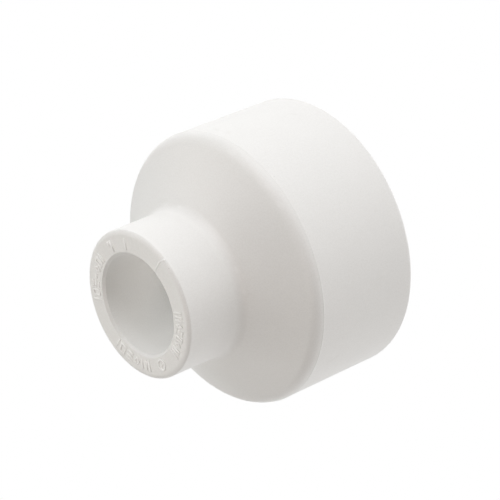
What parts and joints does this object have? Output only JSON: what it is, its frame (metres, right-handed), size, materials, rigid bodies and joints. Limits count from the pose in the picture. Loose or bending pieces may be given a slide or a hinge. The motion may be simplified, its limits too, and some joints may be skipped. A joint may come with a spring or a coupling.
{
  "type": "concentric reducer",
  "caption": "White socket-fusion pipe fitting that joins a large pipe to a small pipe on one axis, with a sloping shoulder between two sockets.",
  "frame": {"origin": "centre of the large socket's mouth, in the plane of its end face, on which the part stands", "axes": "+Z along the common axis of both sockets, from the large mouth to the small end; +X is 39.5 degrees clockwise, seen from the small end, of the mould's witness line on the small end face"},
  "size_m": [0.053, 0.053, 0.0442],
  "materials": {
    "white_polypropylene": "satin moulded",
    "raised_marks": "satin moulded"
  },
  "bodies": {
    "root": {"reducer_body": "white_polypropylene", "mould_witness_line": "raised_marks", "index_bars": "raised_marks", "left_panel_ends": "raised_marks", "left_panel_signs": "raised_marks", "lower_panel_ends": "raised_marks", "lower_panel_signs": "raised_marks", "ring_mark": "raised_marks", "ring_mark_dot": "raised_marks", "right_panel_ends": "raised_marks", "right_panel_signs": "raised_marks"}
  },
  "joints": []
}
